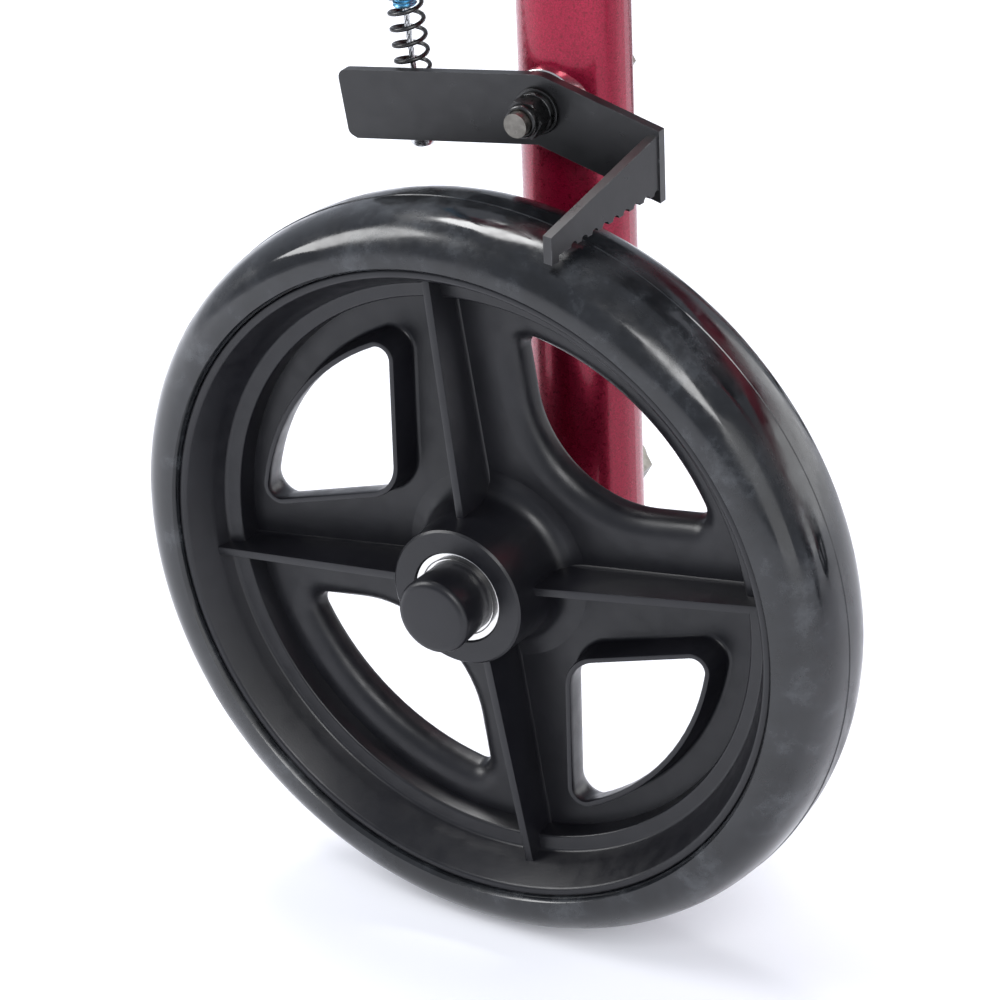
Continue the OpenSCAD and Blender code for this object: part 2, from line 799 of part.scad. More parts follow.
module rear_axles() { rear_wheels_do() axle_bolt(); }
module rear_axle_nuts() { rear_wheels_do() axle_nut(); }
module rear_spacers() { axle_spacers(rear_x, rear_track, leg_lead); }
module rear_axle_caps() { rear_wheels_do() axle_cap(); }
module front_axles() { front_wheels_do() axle_bolt(); }
module front_axle_nuts() { front_wheels_do() axle_nut(); }
module front_spacers() { axle_spacers(front_x, front_track, 0); }
module front_axle_caps() { front_wheels_do() axle_cap(); }
module rear_tyre_right() { wheel_at(rear_x, rear_track, -1) tyre(); }
module rear_rim_right() { wheel_at(rear_x, rear_track, -1) rim(); }
module rear_bearings_right() { wheel_at(rear_x, rear_track, -1) bearings(); }
module rear_tyre_left() { wheel_at(rear_x, rear_track, 1) tyre(); }
module rear_rim_left() { wheel_at(rear_x, rear_track, 1) rim(); }
module rear_bearings_left() { wheel_at(rear_x, rear_track, 1) bearings(); }
module front_tyre_right() { wheel_at(front_x, front_track, -1) tyre(); }
module front_rim_right() { wheel_at(front_x, front_track, -1) rim(); }
module front_bearings_right() { wheel_at(front_x, front_track, -1) bearings(); }
module front_tyre_left() { wheel_at(front_x, front_track, 1) tyre(); }
module front_rim_left() { wheel_at(front_x, front_track, 1) rim(); }
module front_bearings_left() { wheel_at(front_x, front_track, 1) bearings(); }

rear_arch();
main_beam();
head_tube();
seat_tube();
beam_end_cap();
rear_leg_plugs();
headset_cups();
seat_clamp_collar();
seat_clamp_lever();
cable_stops();
cable_adjusters();
rear_cables();
inner_cable_right();
inner_cable_left();
brake_spring_right();
brake_spring_left();
brake_arm_right();
brake_arm_left();
pivot_bolts();
pivot_nuts();
pivot_saddles();
rear_axles();
rear_axle_nuts();
rear_spacers();
rear_axle_caps();
rear_tyre_right();
rear_rim_right();
rear_bearings_right();
rear_tyre_left();
rear_rim_left();
rear_bearings_left();
knee_post();
pad_board();
pad_bolts();
cushion_right();
cushion_left();
front_arch();
steerer();
front_leg_plugs();
front_axles();
front_axle_nuts();
front_spacers();
front_axle_caps();
fold_pin();
fold_lever();
front_tyre_right();
front_rim_right();
front_bearings_right();
front_tyre_left();
front_rim_left();
front_bearings_left();
column();
bar_clamp_collar();
bar_clamp_lever();
handlebar();
grips();
lever_brackets();
brake_lever_right();
brake_lever_left();
lever_cables();
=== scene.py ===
"""Looks of the knee scooter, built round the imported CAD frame. Lengths are millimetres until MM
turns them into metres, except in the sections headed "in metres"."""
import json
import math

import bmesh
import bpy
from mathutils import Matrix, Vector
from mathutils.bvhtree import BVHTree


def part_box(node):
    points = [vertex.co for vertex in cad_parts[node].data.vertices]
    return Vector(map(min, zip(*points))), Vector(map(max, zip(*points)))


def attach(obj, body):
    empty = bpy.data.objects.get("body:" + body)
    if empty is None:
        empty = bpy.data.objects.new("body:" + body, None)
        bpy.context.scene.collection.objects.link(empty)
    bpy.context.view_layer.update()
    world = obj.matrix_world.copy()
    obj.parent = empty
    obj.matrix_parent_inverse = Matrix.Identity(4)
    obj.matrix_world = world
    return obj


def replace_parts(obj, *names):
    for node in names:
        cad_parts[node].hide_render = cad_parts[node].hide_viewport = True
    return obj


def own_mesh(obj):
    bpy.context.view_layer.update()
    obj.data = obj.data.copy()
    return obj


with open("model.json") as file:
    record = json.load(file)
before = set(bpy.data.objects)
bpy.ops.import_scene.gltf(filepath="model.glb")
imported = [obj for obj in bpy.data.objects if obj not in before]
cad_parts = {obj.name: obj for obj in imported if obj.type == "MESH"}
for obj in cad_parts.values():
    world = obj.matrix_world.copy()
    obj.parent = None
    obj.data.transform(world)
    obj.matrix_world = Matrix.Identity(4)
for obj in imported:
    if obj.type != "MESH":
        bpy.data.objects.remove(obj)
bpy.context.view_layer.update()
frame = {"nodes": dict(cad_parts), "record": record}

MM = 0.001

# ---- Driving sizes; one that part.scad names too has the value it has there ----
WHEEL_R, TYRE_W, AXLE_Z = 95.0, 32.0, 95.0
REAR_X, FRONT_X = -280.0, 280.0
REAR_TRACK, FRONT_TRACK = 480.0, 240.0
SPOKE_TURN = 8.3
RIM_R, RIM_HALF = 81.9, 14.5
WEB_MID, WEB_HALF = -2.75, 1.5
WEB_FRONT, WEB_BACK = WEB_MID + WEB_HALF, WEB_MID - WEB_HALF
HUB_R, HUB_HALF = 17.4, 18.0
BEARING_W = 7.0
WINDOW_R, WINDOW_SIDE, WINDOW_SIDE_AT, WINDOW_TIP = 61.2, 15.6, 54.0, 3.0
FLARED_FILLET, FLARED_DEPTH = 28.0, 3.8
RIB_ENDS = ((HUB_R - 1.5, 11.1, -14.1), (77.5, 7.95, -10.9))  # radius, top, bottom
CAP_R, CAP_LOW = 9.5, 17.0
PIVOT = Vector((2.6, 0.0, 109.5))
ARM_FACE, ARM_BACK, ARM_HALF, ARM_TILT = 22.5, 54.9, 8.65, math.radians(8.9)
ARM_CORNER = 2.3
SPRING_FOOT = Vector((-34.6, 29.5, 98.2))
SPRING_LEAN = math.radians(-5.5)
SPRING_LEN, SPRING_R, SPRING_WIRE = 59.0, 3.95, 0.55
ADJUSTER_MOUTH, ADJUSTER_TOP = 28.0, 74.0  # above the spring's foot
HOUSING_R = 2.4
BAR_Z, GRIP_LEN, GRIP_IN = 880.0, 118.0, 106.0
# Not as in part.scad. Its outward collars have a fillet of 28 and no splay, and stand 3.8 out of
# the web; its bearings have 11 and 16.5, its caps 29.5 and its springs 13.5 turns.
COLLARED_FILLET, COLLAR_SPLAY, COLLAR_H = 9.0, 9.0, 8.0
BEARING_R, BEARING_IN, CAP_HIGH, SPRING_TURNS = 11.6, 17.6, 29.49, 16.7

def placed(name, data):
    """A new object in the scene."""
    obj = bpy.data.objects.new(name, data)
    bpy.context.scene.collection.objects.link(obj)
    return obj


# ---- Camera, in metres and radians, its lens in millimetres ----
CAMERA_AT = (0.2262, -1.0355, 0.6098)
CAMERA_YAW, CAMERA_PITCH, CAMERA_ROLL = 0.565, 0.4853, -0.0425
CAMERA_LENS = 162.0


def make_camera():
    """Yaw turns from +Y towards -X, pitch looks down and roll leans the picture."""
    cy, sy = math.cos(CAMERA_YAW), math.sin(CAMERA_YAW)
    cp, sp = math.cos(CAMERA_PITCH), math.sin(CAMERA_PITCH)
    forward = Vector((-sy * cp, cy * cp, -sp))
    level = Vector((cy, sy, 0))
    upright = level.cross(forward)
    cr, sr = math.cos(CAMERA_ROLL), math.sin(CAMERA_ROLL)
    right = cr * level + sr * upright
    up = cr * upright - sr * level
    data = bpy.data.cameras.new("camera")
    data.lens = CAMERA_LENS
    data.clip_start = 0.05
    camera = placed("camera", data)
    turn = Matrix((right, up, -forward)).transposed().to_4x4()
    camera.matrix_world = Matrix.Translation(CAMERA_AT) @ turn
    bpy.context.scene.camera = camera


# ---- Materials ----
class Paint:
    """A Principled material with its colour, roughness and bump driven by procedural nodes."""

    def __init__(self, name, **sockets):
        self.mat = bpy.data.materials.new(name)
        self.mat.use_nodes = True
        self.nodes, self.links = self.mat.node_tree.nodes, self.mat.node_tree.links
        self.bsdf = self.nodes["Principled BSDF"]
        for key, value in sockets.items():
            self.bsdf.inputs[key.replace("_", " ")].default_value = value
        self.coords = self.nodes.new("ShaderNodeTexCoord").outputs["Object"]
        self.normal = None

    def stretched(self, scale):
        node = self.nodes.new("ShaderNodeMapping")
        node.inputs["Scale"].default_value = scale
        self.links.new(self.coords, node.inputs["Vector"])
        return node.outputs["Vector"]

    def noise(self, per_metre, detail=4.0, rough=0.55, at=None):
        node = self.nodes.new("ShaderNodeTexNoise")
        node.inputs["Scale"].default_value = per_metre
        node.inputs["Detail"].default_value = detail
        node.inputs["Roughness"].default_value = rough
        self.links.new(at or self.coords, node.inputs["Vector"])
        return node.outputs["Fac"]

    def cells(self, per_metre, feature="DISTANCE_TO_EDGE"):
        node = self.nodes.new("ShaderNodeTexVoronoi")
        node.feature = feature
        node.inputs["Scale"].default_value = per_metre
        self.links.new(self.coords, node.inputs["Vector"])
        return node.outputs["Distance"]

    def span(self, value, low, high, out_low, out_high):
        node = self.nodes.new("ShaderNodeMapRange")
        for key, number in (("From Min", low), ("From Max", high),
                            ("To Min", out_low), ("To Max", out_high)):
            node.inputs[key].default_value = number
        self.links.new(value, node.inputs["Value"])
        return node.outputs["Result"]

    def base(self, value, *stops):
        """Colours the material by value; each stop is a place and a colour."""
        ramp = self.nodes.new("ShaderNodeValToRGB")
        while len(ramp.color_ramp.elements) < len(stops):
            ramp.color_ramp.elements.new(0.5)
        for element, (place, colour) in zip(ramp.color_ramp.elements, stops):
            element.position = place
            element.color = (*colour, 1)
        self.links.new(value, ramp.inputs["Fac"])
        self.links.new(ramp.outputs["Color"], self.bsdf.inputs["Base Color"])

    def rough(self, value, low, high, out_low, out_high):
        spread = self.span(value, low, high, out_low, out_high)
        self.links.new(spread, self.bsdf.inputs["Roughness"])

    def bump(self, height, depth_mm, strength=1.0):
        node = self.nodes.new("ShaderNodeBump")
        node.inputs["Distance"].default_value = depth_mm * MM
        node.inputs["Strength"].default_value = strength
        self.links.new(height, node.inputs["Height"])
        if self.normal is not None:
            self.links.new(self.normal, node.inputs["Normal"])
        self.normal = node.outputs["Normal"]
        self.links.new(self.normal, self.bsdf.inputs["Normal"])

    def edges(self, radius_mm):
        """0 on flat ground, towards 1 along sharp edges."""
        bevel = self.nodes.new("ShaderNodeBevel")
        bevel.samples = 4
        bevel.inputs["Radius"].default_value = radius_mm * MM
        plain = self.nodes.new("ShaderNodeNewGeometry")
        dot = self.nodes.new("ShaderNodeVectorMath")
        dot.operation = "DOT_PRODUCT"
        self.links.new(bevel.outputs["Normal"], dot.inputs[0])
        self.links.new(plain.outputs["Normal"], dot.inputs[1])
        return self.span(dot.outputs["Value"], 1.0, 0.8, 0.0, 1.0)


def grey(level, tint=0.0):
    return (level, level, level * (1 + tint))


def plastic(name, level, rough, grain_mm, tint=0.35):
    p = Paint(name, IOR=1.5, Specular_IOR_Level=0.42)
    cloud = p.noise(60, 5)
    p.base(cloud, (0.3, grey(level * 0.8, tint)), (0.7, grey(level * 1.25, tint)))
    p.rough(p.noise(220, 6), 0.3, 0.7, rough - 0.06, rough + 0.07)
    p.bump(p.noise(2600, 3), grain_mm)
    return p.mat


def tyre_rubber():
    p = Paint("tyre_rubber", IOR=1.5, Specular_IOR_Level=0.6)
    dust = p.noise(70, 9, 0.7)
    p.base(dust, (0.42, (0.004, 0.0045, 0.0055)), (0.54, (0.009, 0.01, 0.012)),
           (0.66, (0.035, 0.038, 0.042)))
    smear = p.noise(45, 8, 0.65, p.stretched((1, 1, 2.2)))
    p.rough(smear, 0.4, 0.64, 0.08, 0.36)
    p.bump(p.noise(45, 3), 0.25, 0.5)
    p.bump(p.noise(1500, 4), 0.01, 0.5)
    return p.mat


def crimson_paint():
    p = Paint("crimson_paint", Metallic=0.6, Coat_Weight=0.35, Coat_Roughness=0.08, Coat_IOR=1.45)
    flake = p.cells(2600, "F1")
    p.base(flake, (0.0, (0.42, 0.006, 0.05)), (0.6, (0.25, 0.003, 0.025)),
           (1.0, (0.15, 0.001, 0.012)))
    p.rough(p.noise(900, 3), 0.3, 0.7, 0.24, 0.36)
    p.bump(p.noise(160, 2), 0.04, 0.4)
    return p.mat


def black_steel():
    p = Paint("black_steel", IOR=1.5, Specular_IOR_Level=0.5)
    # Painted highlight: the base colour turns light grey along sharp edges, in patches set by noise.
    painted_edge_highlight = p.nodes.new("ShaderNodeMath")
    painted_edge_highlight.operation = "MULTIPLY"
    p.links.new(p.edges(0.5), painted_edge_highlight.inputs[0])
    p.links.new(p.span(p.noise(350, 5), 0.4, 0.65, 0.0, 0.8), painted_edge_highlight.inputs[1])
    p.base(painted_edge_highlight.outputs[0], (0.0, grey(0.011, 0.1)), (0.5, grey(0.03, 0.1)), (1.0, grey(0.16)))
    p.rough(p.noise(260, 6), 0.3, 0.7, 0.27, 0.42)
    p.bump(p.noise(900, 4), 0.03, 0.5)
    return p.mat


def metal(name, colour, rough, grain, stretch=(1, 1, 1), spread=0.25):
    p = Paint(name, Metallic=1.0)
    dark = tuple(c * (1 - spread) for c in colour)
    light = tuple(min(1.0, c * (1 + spread)) for c in colour)
    at = p.stretched(stretch)
    p.base(p.noise(120, 6, 0.6, at), (0.3, dark), (0.7, light))
    p.rough(p.noise(grain, 5, 0.6, at), 0.3, 0.7, rough * 0.7, rough * 1.35)
    p.bump(p.noise(grain * 2, 4, 0.6, at), 0.012, 0.5)
    return p.mat


def vinyl():
    p = Paint("vinyl", IOR=1.5, Specular_IOR_Level=0.5, Coat_Weight=0.15, Coat_Roughness=0.3)
    p.base(p.noise(40, 5), (0.3, grey(0.012)), (0.75, grey(0.024)))
    grain = p.cells(700)
    p.rough(grain, 0.0, 0.35, 0.6, 0.36)
    p.bump(p.span(grain, 0.0, 0.3, 0.0, 1.0), 0.16, 0.7)
    p.bump(p.noise(90, 4), 0.35, 0.35)
    return p.mat


def plywood():
    p = Paint("plywood", IOR=1.45)
    grain = p.noise(40, 8, 0.65, p.stretched((0.25, 5, 30)))
    p.base(grain, (0.3, (0.012, 0.011, 0.01)), (0.65, (0.04, 0.035, 0.03)))
    p.rough(grain, 0.3, 0.7, 0.5, 0.75)
    p.bump(grain, 0.15, 0.6)
    return p.mat


def soft_rubber():
    p = Paint("soft_rubber", Sheen_Weight=0.15, Sheen_Roughness=0.5)
    p.base(p.noise(90, 5), (0.3, grey(0.012)), (0.7, grey(0.022)))
    p.rough(p.noise(400, 5), 0.3, 0.7, 0.55, 0.75)
    p.bump(p.cells(1500), 0.06, 0.6)
    return p.mat


def floor_white():
    p = Paint("floor_white", Specular_IOR_Level=0.25, Emission_Color=(0.94, 0.94, 1.0, 1),
              Emission_Strength=0.22)
    p.base(p.noise(0.8, 2), (0.3, (0.79, 0.8, 0.84)), (0.7, (0.81, 0.82, 0.86)))
    p.rough(p.noise(4, 3), 0.3, 0.7, 0.5, 0.6)
    return p.mat


LOOKS = {
    "crimson_paint": crimson_paint(),
    "black_steel": black_steel(),
    "black_plastic": plastic("black_plastic", 0.006, 0.34, 0.02),
    "tyre": tyre_rubber(),
    "dark_zinc": metal("dark_zinc", (0.2, 0.19, 0.17), 0.36, 700),
    "black_zinc": metal("black_zinc", (0.055, 0.055, 0.055), 0.3, 700),
    "bright_steel": metal("bright_steel", (0.72, 0.71, 0.69), 0.13, 900, spread=0.12),
    "satin_steel": metal("satin_steel", (0.6, 0.61, 0.62), 0.26, 500, (1, 1, 6), 0.1),
    "blue_anodised": metal("blue_anodised", (0.2, 0.5, 0.72), 0.3, 600, spread=0.15),
    "vinyl": vinyl(),
    "board": plywood(),
    "grip_rubber": soft_rubber(),
    "cable_sleeve": plastic("cable_sleeve", 0.016, 0.36, 0.01),
}


def dress_cad_nodes():
    for part in frame["record"]["subparts"]:
        obj = frame["nodes"][part["node"]]
        obj.data.materials.clear()
        obj.data.materials.append(LOOKS[part["material_slot"]])


# ---- Mesh helpers: a shell is (points, faces) ----
def joined(*shells):
    points, faces = [], []
    for shell_points, shell_faces in shells:
        base = len(points)
        points += shell_points
        faces += [[base + i for i in f] for f in shell_faces]
    return points, faces


def flipped(shell):
    return shell[0], [list(reversed(f)) for f in shell[1]]


def moved(shell, matrix):
    shell = [matrix @ Vector(p) for p in shell[0]], shell[1]
    return flipped(shell) if matrix.determinant() < 0 else shell


MIRROR_Y = Matrix.Scale(-1, 4, (0, 1, 0))


def both_sides(shell):
    return joined(shell, moved(shell, MIRROR_Y))


def loft(rings, looped=False):
    """Joins closed rings of equal length: capped at both ends, or looped from last to first."""
    n, s = len(rings), len(rings[0])
    faces = [[i * s + k, (i + 1) % n * s + k, (i + 1) % n * s + (k + 1) % s, i * s + (k + 1) % s]
             for i in range(n if looped else n - 1) for k in range(s)]
    if not looped:
        faces += [list(range(s)), list(reversed(range((n - 1) * s, n * s)))]
    return [Vector(p) for ring in rings for p in ring], faces


def lathe(profile, steps=96):
    """Turns a closed profile of (radius, height) about +Z; it runs counter-clockwise in (r, z)."""
    rings = [[(r * math.cos(a), r * math.sin(a), z) for r, z in profile]
             for a in (2 * math.pi * i / steps for i in range(steps))]
    return flipped(loft(rings, looped=True))


def rounded(corners, radius, steps=4):
    """Closed profile with each corner given a small round."""
    out, n = [], len(corners)
    for i, corner in enumerate(corners):
        c = Vector(corner)
        to_a, to_b = Vector(corners[i - 1]) - c, Vector(corners[(i + 1) % n]) - c
        cut = min(radius, to_a.length * 0.45, to_b.length * 0.45)
        a, b = c + to_a.normalized() * cut, c + to_b.normalized() * cut
        for k in range(steps + 1):
            t = k / steps
            out.append(tuple(a * (1 - t) ** 2 + c * 2 * t * (1 - t) + b * t * t))
    return out


def tube(path, radius, sides=12, looped=False):
    """Round tube along a path, its rings carried without twisting."""
    n = len(path)
    side = None
    rings = []
    for i, p in enumerate(path):
        ahead = path[(i + 1) % n] if looped or i < n - 1 else path[i]
        behind = path[i - 1] if looped or i > 0 else path[i]
        t = (ahead - behind).normalized()
        if side is None:
            side = t.orthogonal()
        side = (side - t * side.dot(t)).normalized()
        over = t.cross(side)
        rings.append([p + radius * (math.cos(a) * side + math.sin(a) * over)
                      for a in (2 * math.pi * k / sides for k in range(sides))])
    return flipped(loft(rings, looped=looped))


def piece(name, shell, look, body, sharp=32.0, matrix=None, units=MM):
    """Makes a shell into a shown piece that rides on a CAD body."""
    mesh = bpy.data.meshes.new(name)
    mesh.from_pydata([Vector(p) * units for p in shell[0]], [], shell[1])
    smooth(mesh, sharp)
    mesh.materials.append(LOOKS[look])
    obj = placed(name, mesh)
    if matrix is not None:
        obj.matrix_world = matrix
    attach(obj, body)
    return obj


def smooth(mesh, sharp):
    work = bmesh.new()
    work.from_mesh(mesh)
    bmesh.ops.recalc_face_normals(work, faces=work.faces)
    limit = math.radians(sharp)
    for face in work.faces:
        face.smooth = True
    for edge in work.edges:
        edge.smooth = len(edge.link_faces) == 2 and edge.calc_face_angle(0) < limit
    work.to_mesh(mesh)
    work.free()


def soften(obj, width_mm, segments=2):
    bevel = obj.modifiers.new("soft_edges", "BEVEL")
    bevel.width = width_mm * MM
    bevel.segments = segments
    bevel.limit_method = "ANGLE"
    bevel.angle_limit = math.radians(32)
    bevel.harden_normals = True
    bevel.use_clamp_overlap = True


# ---- Wheels ----
def wheel_frame(x, track, side):
    """Local +Z points outwards from the wheel's centre, in metres."""
    at = Matrix.Translation(Vector((x, side * track / 2, AXLE_Z)) * MM)
    turn = Matrix.Rotation(math.pi if side > 0 else 0, 4, "Z")
    return at @ turn @ Matrix.Rotation(math.pi / 2, 4, "X")


def window_outline(fillet, splay):
    """(point, outward normal) round one quarter window, in the rim's plane. Its straight sides
    run past (WINDOW_SIDE_AT, WINDOW_SIDE), and lean splay degrees away from the ribs towards
    the hub."""
    t, lean = WINDOW_TIP, math.radians(splay)
    n1 = Vector((-math.sin(lean), -math.cos(lean)))
    along = Vector((math.cos(lean), -math.sin(lean)))
    h = n1.dot(Vector((WINDOW_SIDE_AT, WINDOW_SIDE)))
    c = (fillet - h) / (math.sin(lean) + math.cos(lean))
    tip = n1 * (h - t) + along * math.sqrt((WINDOW_R - t) ** 2 - (h - t) ** 2)
    turn = math.degrees(math.atan2(tip.y, tip.x))
    arcs = [((c, c), fillet, 180 + splay, 270 - splay, 18), (tip, t, -90 - splay, turn, 10),
            ((0, 0), WINDOW_R, turn, 90 - turn, 16), ((tip.y, tip.x), t, 90 - turn, 180 + splay, 10)]
    out = []
    for (cx, cy), r, start, end, steps in arcs:
        for k in range(steps + 1):
            a = math.radians(start + (end - start) * k / steps)
            n = Vector((math.cos(a), math.sin(a)))
            p = Vector((cx, cy)) + n * r
            if out and (p - out[-1][0]).length > 3:
                last, last_n = out[-1]
                out += [(last.lerp(p, j / 4), last_n.lerp(n, j / 4).normalized())
                        for j in (1, 2, 3)]
            if not out or (p - out[-1][0]).length > 0.01:
                out.append((p, n))
    return out


def reach(p, n):
    """Distance from p along n to the panel's hidden border: in the ribs, the hub or the rim."""
    inner, outer, past = 15.0, 72.5, 1.0
    b = p.dot(n)
    hits = [-b + math.sqrt(b * b - p.dot(p) + outer * outer)]
    for axis in (0, 1):
        if n[axis] < -1e-6:
            hits.append((p[axis] + past) / -n[axis])
    under = b * b - p.dot(p) + inner * inner
    if under > 0 and -b - math.sqrt(under) > 0:
        hits.append(-b - math.sqrt(under))
    return min(hits)


# Collar: (distance out from the opening, drop from its top), then heights above the web's face
COLLAR_TOP = [(0.0, -0.35), (0.12, -0.08), (0.35, 0.0), (1.0, 0.0), (1.25, -0.1), (1.4, -0.4)]
COLLAR_FOOT = [(2.05, 1.0), (2.25, 0.45), (2.6, 0.15), (3.2, 0.0)]
# Funnel behind a collar: (distance out from the opening, share of the depth)
FLARE_SIDE = [(0.06, 0.86), (0.2, 0.68), (0.55, 0.5), (1.2, 0.33), (2.2, 0.18), (3.5, 0.08),
              (5.0, 0.02), (6.6, 0.0)]
TO_BORDER = 999.0  # further out than any border


def web_panel(sign):
    """Quarter of the web: its window has a collar towards sign and a smooth flare behind it."""
    if sign > 0:
        outline, height = window_outline(COLLARED_FILLET, COLLAR_SPLAY), COLLAR_H
    else:
        outline, height = window_outline(FLARED_FILLET, 0.0), FLARED_DEPTH
    depth = height + 2 * WEB_HALF
    rings = []

    def ring(d, z):
        rings.append([(*(p + n * min(d, reach(p, n))), WEB_MID + sign * z) for p, n in outline])

    ring(TO_BORDER, -WEB_HALF)
    for d, share in reversed(FLARE_SIDE):
        ring(d, -WEB_HALF + depth * share)
    for d, drop in COLLAR_TOP:
        ring(d, WEB_HALF + height + drop)
    for d, up in COLLAR_FOOT:
        ring(d, WEB_HALF + up)
    ring(TO_BORDER, WEB_HALF)
    return loft(rings, looped=True)


def rib():
    """One flat rib along +X, thinner at its two edges and filleted into the web."""
    rings = []
    for r, high, low in RIB_ENDS:
        half = [(0.75, high), (0.98, high - 0.08), (1.08, high - 0.35), (1.45, WEB_FRONT + 1.2),
                (1.6, WEB_FRONT + 0.6), (1.9, WEB_FRONT + 0.15), (2.3, WEB_FRONT - 0.3),
                (2.3, WEB_BACK + 0.3), (1.9, WEB_BACK - 0.15), (1.6, WEB_BACK - 0.6),
                (1.45, WEB_BACK - 1.2), (1.08, low + 0.35), (0.98, low + 0.08), (0.75, low)]
        rings.append([(r, t, z) for t, z in half] + [(r, -t, z) for t, z in reversed(half)])
    return loft(rings)


def rim_shell():
    """Barrel under the tyre, hub with its bearing seats, and four web quarters with their ribs."""
    barrel = rounded([(70.4, WEB_BACK), (71, -9.5), (74.8, -9.8), (76.5, -11), (80, -RIM_HALF),
                      (RIM_R, -RIM_HALF), (RIM_R, RIM_HALF), (80, RIM_HALF), (76.5, 8),
                      (74.8, 4.3), (71, 4), (70.4, WEB_FRONT)], 0.7)
    seat, mouth = BEARING_IN - BEARING_W, BEARING_R + 0.2
    hub = [(9, -seat), (BEARING_R, -seat), (BEARING_R, 0.2 - HUB_HALF), (mouth, -HUB_HALF),
           (HUB_R - 0.5, -HUB_HALF), (HUB_R, 0.5 - HUB_HALF), (17.8, WEB_BACK - 4),
           (18.6, WEB_BACK - 1.6), (20.4, WEB_BACK - 0.5), (24.5, WEB_BACK - 0.02),
           (24.5, WEB_FRONT - 0.3), (24.5, WEB_FRONT + 0.02), (22.0, WEB_FRONT + 0.2),
           (20.2, WEB_FRONT + 0.9), (18.9, WEB_FRONT + 2.15), (18.2, WEB_FRONT + 3.65),
           (17.8, WEB_FRONT + 5.5), (HUB_R, HUB_HALF - 0.5), (HUB_R - 0.5, HUB_HALF),
           (mouth, HUB_HALF), (BEARING_R, HUB_HALF - 0.2), (BEARING_R, seat), (9, seat)]
    shells = [lathe(barrel, 160), lathe(hub)]
    for q in range(4):
        turn = Matrix.Rotation(math.pi / 2 * q, 4, "Z")
        shells.append(moved(web_panel(-1 if q % 2 == 0 else 1), turn))
        shells.append(moved(rib(), turn))
    return moved(joined(*shells), Matrix.Rotation(math.radians(SPOKE_TURN), 4, "Z"))


def tyre_shell():
    """Superellipse section with a parting line round its tread and a lip where it meets the rim."""
    foot, top, steps, power = RIM_R + 0.95, WHEEL_R - 0.18, 72, 0.8
    profile = [(RIM_R, -RIM_HALF + 0.6), (RIM_R, RIM_HALF - 0.6), (RIM_R + 0.25, TYRE_W / 2 - 0.9)]
    for i in range(steps + 1):
        a = math.pi / 2 - math.pi * i / steps
        r = foot + (top - foot) * max(math.cos(a), 0.0) ** power
        z = TYRE_W / 2 * math.copysign(abs(math.sin(a)) ** power, math.sin(a))
        if i == steps // 2:
            profile += [(r, 0.32), (r + 0.17, 0.12), (r + 0.17, -0.12), (r, -0.32)]
        else:
            profile.append((r, z))
    profile.append((RIM_R + 0.25, -TYRE_W / 2 + 0.9))
    return lathe(list(reversed(profile)), 224)


def bearing_shell():
    """Outer ring, recessed shield and inner ring on each side of the hub, and the bush between."""
    t, w, seat = BEARING_IN, BEARING_W, BEARING_R - 0.02
    ring = rounded([(9.75, t - w), (seat, t - w), (seat, t), (9.75, t)], 0.35)
    shield = [(6.3, t - 1.0), (9.9, t - 1.0), (9.9, t - 0.45), (9.4, t - 0.3), (8.6, t - 0.55),
              (6.9, t - 0.5), (6.3, t - 0.65)]
    inner = rounded([(4.05, t - w), (6.1, t - w), (6.1, t), (4.05, t)], 0.3)
    side = joined(lathe(ring, 64), lathe(shield, 64), lathe(inner, 48))
    bush = lathe([(4.05, w - t), (6.0, w - t), (6.0, t - w), (4.05, t - w)], 48)
    return joined(side, moved(side, Matrix.Scale(-1, 4, (0, 0, 1))), bush)


def cap_shell():
    """Hollow push-on cap with a rounded edge and a slightly crowned top."""
    top = [(CAP_R - 0.4, CAP_LOW), (CAP_R, CAP_HIGH - 2.0)]
    top += [(CAP_R - 1.9 + 1.9 * math.cos(a), CAP_HIGH - 2.05 + 1.9 * math.sin(a))
            for a in (math.pi / 2 * k / 6 for k in range(1, 7))]
    top += [(5.0, CAP_HIGH - 0.06), (2.0, CAP_HIGH), (0.02, CAP_HIGH)]
    return lathe(top + [(0.02, CAP_HIGH - 2.2), (7.6, CAP_HIGH - 2.6), (7.6, CAP_LOW)], 64)


def make_wheels():
    shapes = {"tyre": (tyre_shell(), "tyre"), "rim": (rim_shell(), "black_plastic"),
              "bearings": (bearing_shell(), "bright_steel")}
    cap = cap_shell()
    for end, x, track in (("rear", REAR_X, REAR_TRACK), ("front", FRONT_X, FRONT_TRACK)):
        caps = []
        for side, label in ((-1, "right"), (1, "left")):
            place = wheel_frame(x, track, side)
            for kind, (shell, look) in shapes.items():
                made = piece(f"moulded_{kind}_{end}_{label}", shell, look, f"{end}_wheel_{label}",
                             matrix=place, sharp=38)
                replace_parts(made, f"{end}_{kind}_{label}")
            caps.append(moved(cap, Matrix.Scale(1 / MM, 4) @ place @ Matrix.Scale(MM, 4)))
        made = piece(f"push_caps_{end}", joined(*caps), "black_plastic",
                     "frame" if end == "rear" else "fork")
        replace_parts(made, f"{end}_axle_caps")


# ---- Rear brakes ----
BRAKE_AT = Matrix.Translation((REAR_X, -REAR_TRACK / 2, AXLE_Z))
CABLE_LINE = BRAKE_AT @ Matrix.Translation(SPRING_FOOT) @ Matrix.Rotation(SPRING_LEAN, 4, "Y")


